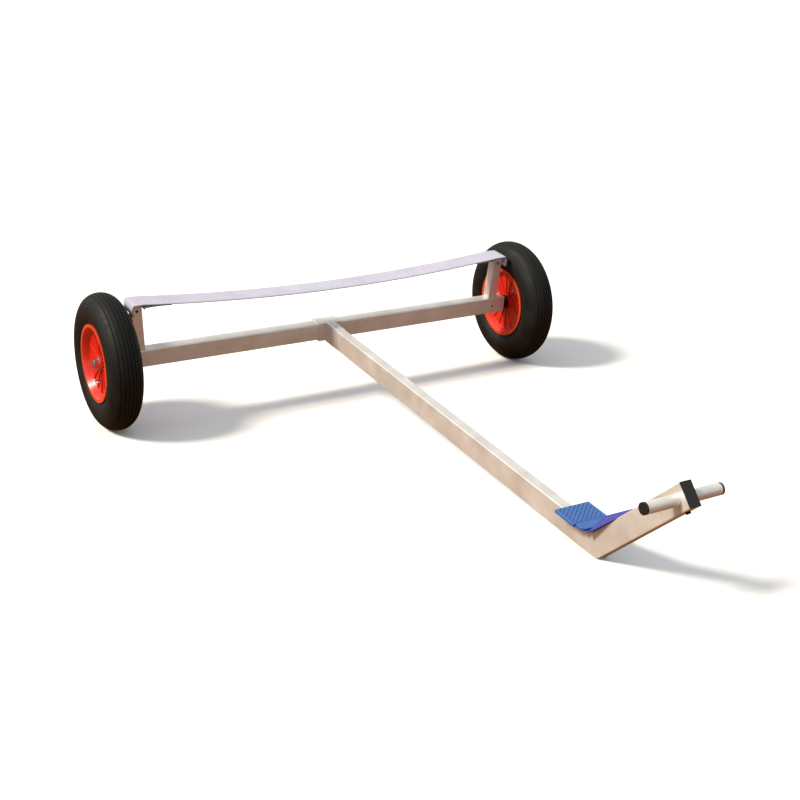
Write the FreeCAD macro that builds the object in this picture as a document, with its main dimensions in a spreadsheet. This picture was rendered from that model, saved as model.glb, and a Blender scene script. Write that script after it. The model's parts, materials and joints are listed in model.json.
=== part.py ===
"""Dinghy trolley: two wheels on a square-tube axle beam, a webbing sling between two posts,
and a drawbar that turns up at the front to a cross handle.

The frame is drawn level, in its own coordinates, with the wheel axis as origin.
It is then tipped forward about that axis until the drawbar's corner meets the floor.
X runs along the axle, the drawbar points to -Y and Z is up. Millimetres throughout.
"""
import FreeCAD, Part
import math
import os
import Sketcher

SIZES = {
    # wheels
    "wheel_radius": 200, "tyre_width": 100, "track_half": 705,
    "shoulder_drop": 10, "shoulder_share": 0.31, "hip_drop": 1, "belly_drop": 5,
    "flange_radius": 114, "rim_half_width": 43, "bead_radius": 101, "barrel_wall": 5,
    "bead_rise": 2, "bead_inset": 7, "toe_inset": 13, "lip_thickness": 4, "lip_height": 9,
    "dish_depth": 20, "dish_rise": 3, "dish_edge": 4, "hub_radius": 24, "hub_half_length": 27, "bush_radius": 14,
    "rib_thickness": 3, "rib_height": 3, "rib_count": 16, "rib_root": 2, "rib_short": 1,
    "valve_radius": 4, "valve_length": 22, "valve_reach": 52,
    # axle
    "axle_radius": 10, "running_gap": 0.05, "end_float": 0.5, "axle_grip": 70,
    "spacer_radius": 23, "washer_radius": 18, "washer_thickness": 2.5,
    "nut_radius": 15, "nut_height": 12, "pin_radius": 2, "axle_end": 2,
    # beam and posts
    "beam_height": 52, "beam_depth": 40, "beam_half_length": 660, "beam_wall": 3,
    "corner_round": 3, "cap_thickness": 4,
    "post_size": 30, "post_wall": 3, "post_height": 146, "post_inset": 598, "post_lean": 3.8,
    "post_hole_radius": 4.5, "post_hole_drop": 24,
    # sling
    "sling_width": 75, "sling_thickness": 4, "sling_sag": 30, "sling_bulge": 6, "sling_drop": 30,
    "sling_gap": 0.3,
    # socket, drawbar and riser
    "socket_wall": 3, "socket_half_width": 38, "socket_reach": 97, "joint_gap": 2.5,
    "bar_height": 60, "bar_width": 30, "bar_wall": 3, "bar_round": 2.5,
    "spigot_length": 150, "bolt_radius": 4, "bolt_setback": 62, "bolt_head": 7, "bolt_head_height": 5,
    "corner_reach": 1395, "bend_angle": 47, "riser_length": 372, "plug_flange": 3, "plug_depth": 20,
    # handle
    "handle_radius": 14, "handle_wall": 2, "handle_half_length": 102, "handle_setback": 27.5,
    "grip_cap": 6, "fit_gap": 0.1,
    # bow support
    "pad_width": 100, "pad_length": 73, "pad_thickness": 8, "pad_setback": 62, "pad_offset": 4.5,
    "foot_left": 40, "foot_right": 50, "foot_length": 29, "foot_round": 16,
    "leg_left": 37, "leg_right": 46, "leg_ridge": 35, "leg_height": 29, "leg_length": 152,
    "leg_tip": 5, "leg_tip_height": 3.5, "leg_run_out": 40,
}

doc = FreeCAD.newDocument("dinghy_trolley")
sheet = doc.addObject("Spreadsheet::Sheet", "Sizes")
pieces = []


def fill_sheet():
    for row, (alias, size) in enumerate(SIZES.items(), start=1):
        sheet.set(f"A{row}", alias)
        sheet.set(f"B{row}", str(size))
        sheet.setAlias(f"B{row}", alias)
    doc.recompute()


def value(expression):
    """The number that an expression over the sheet's aliases gives now."""
    return float(sheet.evalExpression(expression))


def size(alias):
    return value(f"Sizes.{alias}")


# ---- sketches and features -------------------------------------------------------------------

def new_body(label, placement=FreeCAD.Placement()):
    body = doc.addObject("PartDesign::Body", label)
    body.Label = label
    body.Placement = placement
    pieces.append(body)
    return body


def new_sketch(body, name, plane):
    sketch = body.newObject("Sketcher::SketchObject", f"{body.Name}_{name}")
    planes = [item for item in body.Origin.OriginFeatures if item.Role == plane]
    sketch.AttachmentSupport = [(planes[0], "")]
    sketch.MapMode = "FlatFace"
    return sketch


def bind(sketch, constraint, expression):
    """Add one constraint and tie its size to the sheet."""
    index = sketch.addConstraint(constraint)
    sketch.setExpression(f"Constraints[{index}]", expression)


def pin_point(sketch, geometry, end, point):
    """Hold one point of a sketch at a place given by two expressions."""
    for kind, expression in zip(("DistanceX", "DistanceY"), point):
        constraint = Sketcher.Constraint(kind, geometry, end, value(expression))
        bind(sketch, constraint, expression)


def vector(point):
    return FreeCAD.Vector(value(point[0]), value(point[1]), 0)


def draw_outline(sketch, points, bulges=None):
    """Closed outline through points; bulges maps a start index to a point its arc passes."""
    bulges = bulges or {}
    for index, start in enumerate(points):
        end = points[(index + 1) % len(points)]
        if index in bulges:
            draw_arc(sketch, start, bulges[index], end)
        else:
            geometry = sketch.addGeometry(Part.LineSegment(vector(start), vector(end)))
            pin_point(sketch, geometry, 1, start)
            pin_point(sketch, geometry, 2, end)


def draw_arc(sketch, start, via, end):
    """An arc through three points, always drawn anticlockwise as a sketch stores it."""
    first, last = vector(via) - vector(start), vector(end) - vector(via)
    if first.cross(last).z < 0:
        start, end = end, start
    geometry = sketch.addGeometry(Part.Arc(vector(start), vector(via), vector(end)))
    pin_point(sketch, geometry, 1, start)
    pin_point(sketch, geometry, 2, end)
    mark = sketch.addGeometry(Part.Point(vector(via)), True)
    pin_point(sketch, mark, 1, via)
    sketch.addConstraint(Sketcher.Constraint("PointOnObject", mark, 1, geometry))


def draw_circle(sketch, centre, radius):
    circle = Part.Circle(vector(centre), FreeCAD.Vector(0, 0, 1), value(radius))
    geometry = sketch.addGeometry(circle)
    pin_point(sketch, geometry, 3, centre)
    bind(sketch, Sketcher.Constraint("Radius", geometry, value(radius)), radius)


def draw_box(sketch, left, right, bottom, top):
    draw_outline(sketch, [(left, bottom), (right, bottom), (right, top), (left, top)])


def add_pad(body, sketch, length, midplane=False, reverse=False):
    pad = body.newObject("PartDesign::Pad", f"{sketch.Name}_pad")
    pad.Profile = sketch
    pad.Midplane = midplane
    pad.Reversed = reverse
    pad.setExpression("Length", length)
    sketch.Visibility = False
    return pad


def add_pocket(body, sketch, length, midplane=False, reverse=False):
    """Cut a pocket, and make sure that it takes material away."""
    doc.recompute()
    before = body.Shape.Volume
    pocket = body.newObject("PartDesign::Pocket", f"{sketch.Name}_pocket")
    pocket.Profile = sketch
    pocket.Midplane = midplane
    pocket.Reversed = reverse
    pocket.setExpression("Length", length)
    doc.recompute()
    if body.Shape.Volume >= before - 0.01:
        raise RuntimeError(f"{pocket.Name} removes nothing")
    return pocket


def add_revolution(body, sketch):
    """Turn a sketch a full turn about its own horizontal axis."""
    turned = body.newObject("PartDesign::Revolution", f"{sketch.Name}_turned")
    turned.Profile = sketch
    turned.ReferenceAxis = (sketch, ["H_Axis"])
    turned.Angle = 360
    return turned


def round_edges(body, radius, direction):
    """Fillet the straight edges that run along one direction."""
    doc.recompute()
    base = body.Tip
    names = []
    for index, edge in enumerate(base.Shape.Edges, start=1):
        along = edge.tangentAt(edge.FirstParameter)
        if edge.Curve.TypeId == "Part::GeomLine" and abs(along.dot(direction)) > 0.999:
            names.append(f"Edge{index}")
    fillet = body.newObject("PartDesign::Fillet", f"{body.Name}_round")
    fillet.Base = (base, names)
    fillet.setExpression("Radius", radius)
    return fillet


ALONG_X = FreeCAD.Vector(1, 0, 0)
ALONG_Y = FreeCAD.Vector(0, 1, 0)
ALONG_Z = FreeCAD.Vector(0, 0, 1)

fill_sheet()

# ---- how the frame stands --------------------------------------------------------------------

HALF_BAR = "Sizes.bar_height / 2"
PAD_FRONT = "(Sizes.corner_reach - Sizes.pad_setback)"
reach_to_corner = math.hypot(size("corner_reach"), value(HALF_BAR))
FRAME_TIP = math.degrees(math.asin(size("wheel_radius") / reach_to_corner)
                         - math.atan2(value(HALF_BAR), size("corner_reach")))
FRAME = FreeCAD.Placement(FreeCAD.Vector(0, 0, size("wheel_radius")),
                          FreeCAD.Rotation(ALONG_X, FRAME_TIP))
# The riser leaves the drawbar's lower front corner, turned up by the bend angle.
CORNER = FreeCAD.Placement(FreeCAD.Vector(0, -size("corner_reach"), -value(HALF_BAR)),
                           FreeCAD.Rotation(ALONG_X, -size("bend_angle")))
RISER = FRAME.multiply(CORNER)


def at_frame(x=0.0, y=0.0, z=0.0):
    """The tipped frame's placement, moved along its own axes."""
    return FRAME.multiply(FreeCAD.Placement(FreeCAD.Vector(x, y, z), FreeCAD.Rotation()))


def on_side(side, distance):
    """A placement on the axle line with its own X pointing outwards."""
    turn = 0 if side > 0 else 180
    return FreeCAD.Placement(FreeCAD.Vector(side * distance, 0, size("wheel_radius")),
                             FreeCAD.Rotation(ALONG_Z, turn))


def frame_side(side):
    """The tipped frame's placement with its own X pointing outwards on one side."""
    turn = FreeCAD.Rotation(ALONG_Z, 0 if side > 0 else 180)
    return FRAME.multiply(FreeCAD.Placement(FreeCAD.Vector(), turn))


# ---- wheels ----------------------------------------------------------------------------------

def make_tyre(side, word):
    """A balloon section: arcs for the crown and sidewalls, beads that sit on the rim."""
    body = new_body(f"tyre_{word}", on_side(side, size("track_half")))
    half = "Sizes.tyre_width / 2"
    bead = "Sizes.rim_half_width - Sizes.bead_inset"
    foot = "Sizes.bead_radius"
    heel = "Sizes.bead_radius + Sizes.bead_rise"
    toe = "Sizes.rim_half_width - Sizes.toe_inset"
    top = "Sizes.wheel_radius"
    shoulder = "Sizes.wheel_radius - Sizes.shoulder_drop"
    shoulder_out = "Sizes.tyre_width * Sizes.shoulder_share"
    hip = "Sizes.flange_radius - Sizes.hip_drop"
    widest = "(Sizes.wheel_radius + Sizes.flange_radius) / 2 - Sizes.belly_drop"
    points = [(f"-({toe})", foot), (toe, foot), (bead, heel), (bead, hip),
              (shoulder_out, shoulder), (f"-({shoulder_out})", shoulder),
              (f"-({bead})", hip), (f"-({bead})", heel)]
    bulges = {3: (half, widest), 4: ("0", top), 5: (f"-({half})", widest)}
    sketch = new_sketch(body, "section", "XY_Plane")
    draw_outline(sketch, points, bulges)
    add_revolution(body, sketch)


def make_rim(side, word):
    """A moulded rim: flanged barrel, a shallow dish on both faces, hub and low radial ribs."""
    body = new_body(f"rim_{word}", on_side(side, size("track_half")))
    edge = "Sizes.rim_half_width"
    lip = "Sizes.rim_half_width - Sizes.lip_thickness"
    bead = "Sizes.rim_half_width - Sizes.bead_inset"
    toe = "Sizes.rim_half_width - Sizes.toe_inset"
    hub = "Sizes.hub_half_length"
    seat = "Sizes.bead_radius"
    inside = "Sizes.bead_radius - Sizes.barrel_wall"
    dish_out = "Sizes.rim_half_width - Sizes.dish_depth"
    dish_in = f"{dish_out} - Sizes.dish_rise"
    outer_half = [(hub, "Sizes.bush_radius"), (hub, "Sizes.hub_radius"),
                  (dish_in, "Sizes.hub_radius"), (dish_out, f"{inside} - Sizes.dish_edge"),
                  (edge, "Sizes.flange_radius - Sizes.lip_height"),
                  (edge, "Sizes.flange_radius"), (lip, "Sizes.flange_radius"),
                  (bead, f"{seat} + Sizes.bead_rise"), (toe, seat)]
    inner_half = [(f"-({across})", radius) for across, radius in reversed(outer_half)]
    section = new_sketch(body, "section", "XY_Plane")
    draw_outline(section, outer_half + inner_half)
    add_revolution(body, section)
    doc.recompute()
    rib = new_sketch(body, "rib", "XY_Plane")
    half_rib = [(f"{dish_in} + Sizes.rib_height", "Sizes.hub_radius - Sizes.rib_root"),
                (f"{dish_out} + Sizes.rib_height", f"{inside} - Sizes.dish_edge - Sizes.rib_short")]
    mirrored = [(f"-({across})", radius) for across, radius in reversed(half_rib)]
    draw_outline(rib, half_rib + mirrored)
    pad = add_pad(body, rib, "Sizes.rib_thickness", midplane=True)
    doc.recompute()
    ring = body.newObject("PartDesign::PolarPattern", f"{body.Name}_ribs")
    ring.Originals = [pad]
    ring.Axis = (section, ["H_Axis"])
    ring.Angle = 360
    ring.setExpression("Occurrences", "Sizes.rib_count")
    body.Tip = ring


def make_bush(side, word):
    """A nylon bush pressed in the hub, running on the stub axle."""
    body = new_body(f"hub_bush_{word}", on_side(side, size("track_half")))
    sketch = new_sketch(body, "section", "YZ_Plane")
    draw_circle(sketch, ("0", "0"), "Sizes.bush_radius")
    draw_circle(sketch, ("0", "0"), "Sizes.axle_radius + Sizes.running_gap")
    add_pad(body, sketch, "Sizes.hub_half_length * 2", midplane=True)


def make_valve(side, word):
    """A rubber valve stem that stands out of the rim's dish, below the hub, clear of the ribs."""
    body = new_body(f"valve_stem_{word}", on_side(side, size("track_half")))
    between_ribs = "(180 / Sizes.rib_count * 1 deg)"
    sketch = new_sketch(body, "section", "YZ_Plane")
    centre = (f"Sizes.valve_reach * sin({between_ribs})", f"-Sizes.valve_reach * cos({between_ribs})")
    draw_circle(sketch, centre, "Sizes.valve_radius")
    # The dish's face leans, so the stem starts where that face reaches its outer side.
    start = ("Sizes.rim_half_width - Sizes.dish_depth - Sizes.dish_rise + Sizes.dish_rise"
             " * (Sizes.valve_reach + Sizes.valve_radius - Sizes.hub_radius)"
             " / (Sizes.bead_radius - Sizes.barrel_wall - Sizes.dish_edge - Sizes.hub_radius)")
    sketch.setExpression("AttachmentOffset.Base.z", start)
    add_pad(body, sketch, "Sizes.valve_length")


# ---- axle ------------------------------------------------------------------------------------

def axle_ring(label, side, start, length, outer, inner="Sizes.axle_radius"):
    """A ring round the axle; start is measured out from the trolley's middle."""
    body = new_body(label, on_side(side, 0))
    sketch = new_sketch(body, "section", "YZ_Plane")
    sketch.setExpression("AttachmentOffset.Base.z", start)
    draw_circle(sketch, ("0", "0"), outer)
    if inner:
        draw_circle(sketch, ("0", "0"), inner)
    add_pad(body, sketch, length)
    return body


def make_axle(side, word):
    """Stub axle, inner spacer, outer washer, collar nut and cross pin."""
    beam_end = "Sizes.beam_half_length + Sizes.cap_thickness"
    hub_in = "Sizes.track_half - Sizes.hub_half_length - Sizes.end_float"
    hub_out = "Sizes.track_half + Sizes.hub_half_length + Sizes.end_float"
    nut_start = f"{hub_out} + Sizes.washer_thickness"
    axle_start = "Sizes.beam_half_length - Sizes.axle_grip"
    axle_length = f"{nut_start} + Sizes.nut_height + Sizes.axle_end - ({axle_start})"
    axle_ring(f"stub_axle_{word}", side, axle_start, axle_length, "Sizes.axle_radius", None)
    axle_ring(f"axle_spacer_{word}", side, beam_end, f"{hub_in} - ({beam_end})",
              "Sizes.spacer_radius")
    axle_ring(f"axle_washer_{word}", side, hub_out, "Sizes.washer_thickness",
              "Sizes.washer_radius")
    nut = axle_ring(f"axle_nut_{word}", side, nut_start, "Sizes.nut_height", "Sizes.nut_radius")
    across = new_sketch(nut, "pin_hole", "XY_Plane")
    middle = f"{nut_start} + Sizes.nut_height / 2"
    draw_circle(across, (middle, "0"), "Sizes.pin_radius + Sizes.running_gap")
    add_pocket(nut, across, "Sizes.nut_radius * 2 + 4", midplane=True)


# ---- beam and posts --------------------------------------------------------------------------

def make_beam():
    """A rectangular tube along the axle line."""
    body = new_body("axle_beam", FRAME)
    outer = new_sketch(body, "outer", "YZ_Plane")
    deep, high = "Sizes.beam_depth / 2", "Sizes.beam_height / 2"
    draw_box(outer, f"-({deep})", deep, f"-({high})", high)
    add_pad(body, outer, "Sizes.beam_half_length * 2", midplane=True)
    round_edges(body, "Sizes.corner_round", ALONG_X)
    inner = new_sketch(body, "inner", "YZ_Plane")
    deep, high = f"{deep} - Sizes.beam_wall", f"{high} - Sizes.beam_wall"
    draw_box(inner, f"-({deep})", deep, f"-({high})", high)
    add_pocket(body, inner, "Sizes.beam_half_length * 2 + 10", midplane=True)


def make_beam_plug(side, word):
    """A moulded end plug: a cover plate and a block inside the beam that grips the axle."""
    body = new_body(f"beam_plug_{word}", frame_side(side))
    deep, high = "Sizes.beam_depth / 2", "Sizes.beam_height / 2"
    cover = new_sketch(body, "cover", "YZ_Plane")
    cover.setExpression("AttachmentOffset.Base.z", "Sizes.beam_half_length")
    draw_box(cover, f"-({deep})", deep, f"-({high})", high)
    add_pad(body, cover, "Sizes.cap_thickness")
    round_edges(body, "Sizes.corner_round", ALONG_X)
    block = new_sketch(body, "block", "YZ_Plane")
    block.setExpression("AttachmentOffset.Base.z", "Sizes.beam_half_length")
    deep, high = f"{deep} - Sizes.beam_wall", f"{high} - Sizes.beam_wall"
    draw_box(block, f"-({deep})", deep, f"-({high})", high)
    add_pad(body, block, "Sizes.axle_grip", reverse=True)
    bore = new_sketch(body, "bore", "YZ_Plane")
    bore.setExpression("AttachmentOffset.Base.z", "Sizes.beam_half_length")
    draw_circle(bore, ("0", "0"), "Sizes.axle_radius")
    add_pocket(body, bore, "Sizes.axle_grip * 2 + 10", midplane=True)


def make_post(side, word):
    """A square tube welded on the beam that leans outwards, its ends cut level."""
    body = new_body(f"sling_post_{word}", frame_side(side))
    inside, wide = "Sizes.post_inset", "Sizes.post_size"
    wall = "Sizes.post_wall"
    section = new_sketch(body, "section", "XY_Plane")
    section.setExpression("AttachmentOffset.Base.z", "Sizes.beam_height / 2")
    draw_box(section, inside, f"{inside} + {wide}", f"-{wide} / 2", f"{wide} / 2")
    draw_box(section, f"{inside} + {wall}", f"{inside} + {wide} - {wall}",
             f"-{wide} / 2 + {wall}", f"{wide} / 2 - {wall}")
    pad = add_pad(body, section, "Sizes.post_height")
    pad.UseCustomVector = True
    pad.AlongSketchNormal = True
    lean = math.radians(size("post_lean"))
    pad.Direction = FreeCAD.Vector(math.sin(lean), 0, math.cos(lean))
    hole = new_sketch(body, "hole", "XZ_Plane")
    centre_height = "Sizes.beam_height / 2 + Sizes.post_height - Sizes.post_hole_drop"
    centre_across = (f"{inside} + {wide} / 2 + (Sizes.post_height - Sizes.post_hole_drop)"
                     " * tan(Sizes.post_lean * 1 deg)")
    draw_circle(hole, (centre_across, centre_height), "Sizes.post_hole_radius")
    add_pocket(body, hole, "Sizes.post_size + 4", midplane=True)


def make_sling():
    """A webbing sling over both posts; each end turns down outside its post in a loop."""
    body = new_body("sling", FRAME)
    seat = "(Sizes.beam_height / 2 + Sizes.post_height)"
    lean = "tan(Sizes.post_lean * 1 deg)"
    thick = "Sizes.sling_thickness"
    inner_x = f"(Sizes.post_inset + Sizes.post_height * {lean})"
    outer_x = f"({inner_x} + Sizes.post_size)"
    low = f"({seat} - Sizes.sling_drop)"
    belly = f"({seat} - Sizes.sling_drop * 0.45)"
    foot_x = f"({outer_x} - Sizes.sling_drop * {lean} + Sizes.sling_gap)"
    # Half way out the belly has risen by a quarter of the sag, as a parabola does.
    half_x, low_seat = f"{inner_x} / 2", f"{seat} - Sizes.sling_sag"
    half_seat = f"{seat} - Sizes.sling_sag * 0.75"
    right = [(half_x, f"{half_seat} + {thick}"), (inner_x, f"{seat} + {thick}"),
             (outer_x, f"{seat} + {thick}"), (f"{foot_x} + {thick}", low), (foot_x, low),
             (f"{outer_x} + Sizes.sling_gap", seat), (inner_x, seat), (half_x, half_seat)]
    left = [(f"-({across})", height) for across, height in reversed(right)]
    points = right + [("0", low_seat)] + left + [("0", f"{low_seat} + {thick}")]
    loop_out = f"{outer_x} + Sizes.sling_bulge"
    loop_in = f"{loop_out} - {thick}"
    bulges = {2: (loop_out, belly), 4: (loop_in, belly),
              11: (f"-({loop_in})", belly), 13: (f"-({loop_out})", belly)}
    sketch = new_sketch(body, "profile", "XZ_Plane")
    draw_outline(sketch, points, bulges)
    add_pad(body, sketch, "Sizes.sling_width", midplane=True)


# ---- socket, drawbar and riser ---------------------------------------------------------------

def make_socket():
    """A box sleeve round the beam with a square stub that takes the drawbar."""
    body = new_body("drawbar_socket", FRAME)
    wall = "Sizes.socket_wall"
    deep, high = f"Sizes.beam_depth / 2 + {wall}", f"Sizes.beam_height / 2 + {wall}"
    sleeve = new_sketch(body, "sleeve", "YZ_Plane")
    draw_box(sleeve, f"-({deep})", deep, f"-({high})", high)
    add_pad(body, sleeve, "Sizes.socket_half_width * 2", midplane=True)
    half_bar, half_width = HALF_BAR, "Sizes.bar_width / 2"
    stub = new_sketch(body, "stub", "YZ_Plane")
    draw_box(stub, "-Sizes.socket_reach", "0", f"-{half_bar}", half_bar)
    add_pad(body, stub, "Sizes.bar_width", midplane=True)
    hollow = new_sketch(body, "hollow", "XZ_Plane")
    bar_wall = "Sizes.bar_wall"
    draw_box(hollow, f"-({half_width} - {bar_wall})", f"{half_width} - {bar_wall}",
             f"-({half_bar} - {bar_wall})", f"{half_bar} - {bar_wall}")
    add_pocket(body, hollow, "Sizes.socket_reach + 1", reverse=True)
    passage = new_sketch(body, "passage", "YZ_Plane")
    deep, high = "Sizes.beam_depth / 2", "Sizes.beam_height / 2"
    draw_box(passage, f"-({deep})", deep, f"-({high})", high)
    add_pocket(body, passage, "Sizes.socket_half_width * 2 + 2", midplane=True)
    hole = new_sketch(body, "bolt_hole", "XY_Plane")
    draw_circle(hole, ("0", "-Sizes.bolt_setback"), "Sizes.bolt_radius + Sizes.fit_gap")
    add_pocket(body, hole, "Sizes.bar_height + 4", midplane=True)


def make_spigot():
    """A smaller tube that joins the stub and the drawbar from inside."""
    body = new_body("drawbar_spigot", FRAME)
    half_width = "Sizes.bar_width / 2 - Sizes.bar_wall"
    half_height = f"{HALF_BAR} - Sizes.bar_wall"
    start = "Sizes.beam_depth / 2 + Sizes.socket_wall + 1"
    section = new_sketch(body, "section", "XZ_Plane")
    section.setExpression("AttachmentOffset.Base.z", start)
    draw_box(section, f"-({half_width})", half_width, f"-({half_height})", half_height)
    draw_box(section, f"-({half_width} - Sizes.bar_wall)", f"{half_width} - Sizes.bar_wall",
             f"-({half_height} - Sizes.bar_wall)", f"{half_height} - Sizes.bar_wall")
    add_pad(body, section, "Sizes.spigot_length")
    hole = new_sketch(body, "bolt_hole", "XY_Plane")
    draw_circle(hole, ("0", "-Sizes.bolt_setback"), "Sizes.bolt_radius + Sizes.fit_gap")
    add_pocket(body, hole, "Sizes.bar_height + 4", midplane=True)


def make_socket_bolt():
    """A bolt from below; its end stays down inside the hole in the stub's top."""
    body = new_body("socket_bolt", at_frame(y=-size("bolt_setback")))
    shank = new_sketch(body, "shank", "XY_Plane")
    shank.setExpression("AttachmentOffset.Base.z", f"-{HALF_BAR}")
    draw_circle(shank, ("0", "0"), "Sizes.bolt_radius")
    add_pad(body, shank, "Sizes.bar_height - Sizes.bar_wall")
    head = new_sketch(body, "head", "XY_Plane")
    head.setExpression("AttachmentOffset.Base.z", f"-{HALF_BAR}")
    draw_circle(head, ("0", "0"), "Sizes.bolt_head")
    add_pad(body, head, "Sizes.bolt_head_height", reverse=True)


def make_drawbar():
    """A rectangular tube from the socket to the corner, where it is cut on the mitre."""
    body = new_body("drawbar_tube", FRAME)
    start = "-(Sizes.socket_reach + Sizes.joint_gap)"
    slope = "tan(Sizes.bend_angle / 2 * 1 deg)"
    corner = "-Sizes.corner_reach"

    def outline(name, inset):
        sketch = new_sketch(body, name, "YZ_Plane")
        low, high = f"-{HALF_BAR} + {inset}", f"{HALF_BAR} - {inset}"
        draw_outline(sketch, [(start, low), (f"{corner} + {inset} * {slope}", low),
                              (f"{corner} + (Sizes.bar_height - {inset}) * {slope}", high),
                              (start, high)])
        return sketch

    add_pad(body, outline("outer", "0"), "Sizes.bar_width", midplane=True)
    round_edges(body, "Sizes.bar_round", ALONG_Y)
    add_pocket(body, outline("inner", "Sizes.bar_wall"),
               "Sizes.bar_width - 2 * Sizes.bar_wall", midplane=True)


def make_riser():
    """The turned-up front tube, drawn along its own -Y from the corner."""
    body = new_body("riser_tube", RISER)
    slope = "tan(Sizes.bend_angle / 2 * 1 deg)"
    end = "-Sizes.riser_length"

    def outline(name, inset):
        sketch = new_sketch(body, name, "YZ_Plane")
        low, high = inset, f"Sizes.bar_height - {inset}"
        draw_outline(sketch, [(f"-{inset} * {slope}", low), (f"-({high}) * {slope}", high),
                              (end, high), (end, low)])
        return sketch

    add_pad(body, outline("outer", "0"), "Sizes.bar_width", midplane=True)
    round_edges(body, "Sizes.bar_round", ALONG_Y)
    add_pocket(body, outline("inner", "Sizes.bar_wall"),
               "Sizes.bar_width - 2 * Sizes.bar_wall", midplane=True)
    hole = new_sketch(body, "handle_hole", "YZ_Plane")
    draw_circle(hole, handle_centre(), "Sizes.handle_radius")
    add_pocket(body, hole, "Sizes.bar_width + 4", midplane=True)


def handle_centre():
    return ("-(Sizes.riser_length - Sizes.handle_setback)", HALF_BAR)


def make_riser_plug():
    """A plastic plug: a flange over the tube's end and a short block inside it."""
    body = new_body("riser_plug", RISER)
    half_width, wall = "Sizes.bar_width / 2", "Sizes.bar_wall"
    flange = new_sketch(body, "flange", "XZ_Plane")
    flange.setExpression("AttachmentOffset.Base.z", "Sizes.riser_length")
    draw_box(flange, f"-({half_width})", half_width, "0", "Sizes.bar_height")
    add_pad(body, flange, "Sizes.plug_flange")
    block = new_sketch(body, "block", "XZ_Plane")
    block.setExpression("AttachmentOffset.Base.z", "Sizes.riser_length")
    draw_box(block, f"-({half_width} - {wall})", f"{half_width} - {wall}",
             wall, f"Sizes.bar_height - {wall}")
    depth = "min(Sizes.plug_depth; Sizes.handle_setback - Sizes.handle_radius - 2)"
    add_pad(body, block, depth, reverse=True)


def make_handle():
    """A round tube through the riser, with a cap in each end and a bolt from below."""
    body = new_body("handle_tube", RISER)
    section = new_sketch(body, "section", "YZ_Plane")
    draw_circle(section, handle_centre(), "Sizes.handle_radius")
    draw_circle(section, handle_centre(), "Sizes.handle_radius - Sizes.handle_wall")
    add_pad(body, section, "Sizes.handle_half_length * 2", midplane=True)
    for side, word in SIDES:
        cap = new_body(f"handle_cap_{word}", RISER)
        disc = new_sketch(cap, "disc", "YZ_Plane")
        disc.setExpression("AttachmentOffset.Base.z", f"{side} * Sizes.handle_half_length")
        draw_circle(disc, handle_centre(), "Sizes.handle_radius")
        add_pad(cap, disc, "Sizes.grip_cap", reverse=side < 0)
    bolt = new_body("handle_bolt", RISER)
    head = new_sketch(bolt, "head", "XY_Plane")
    draw_circle(head, ("0", handle_centre()[0]), "Sizes.bolt_head - 1")
    add_pad(bolt, head, "Sizes.bolt_head_height", reverse=True)


# ---- bow support -----------------------------------------------------------------------------

def make_bow_pad():
    """A flat plate across the drawbar that the dinghy's bow rests on."""
    body = new_body("bow_pad", FRAME)
    section = new_sketch(body, "outline", "XY_Plane")
    section.setExpression("AttachmentOffset.Base.z", HALF_BAR)
    draw_box(section, "Sizes.pad_offset - Sizes.pad_width / 2",
             "Sizes.pad_offset + Sizes.pad_width / 2",
             f"-{PAD_FRONT}", f"-{PAD_FRONT} + Sizes.pad_length")
    add_pad(body, section, "Sizes.pad_thickness")
    round_edges(body, "Sizes.corner_round", ALONG_Z)


def make_bow_foot():
    """A smooth plate that carries on from the pad to the bend, with one round front corner."""
    body = new_body("bow_foot", FRAME)
    left, right = "-Sizes.foot_left", "Sizes.foot_right"
    back = f"-{PAD_FRONT}"
    front = f"(-{PAD_FRONT} - Sizes.foot_length)"
    bow = "Sizes.foot_round"
    nook = f"{bow} * (1 - sqrt(0.5))"
    outline = new_sketch(body, "outline", "XY_Plane")
    outline.setExpression("AttachmentOffset.Base.z", HALF_BAR)
    draw_outline(outline, [(left, back), (left, f"{front} + {bow}"), (f"{left} + {bow}", front),
                           (right, front), (right, back)],
                 {1: (f"{left} + {nook}", f"{front} + {nook}")})
    add_pad(body, outline, "Sizes.pad_thickness")


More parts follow.
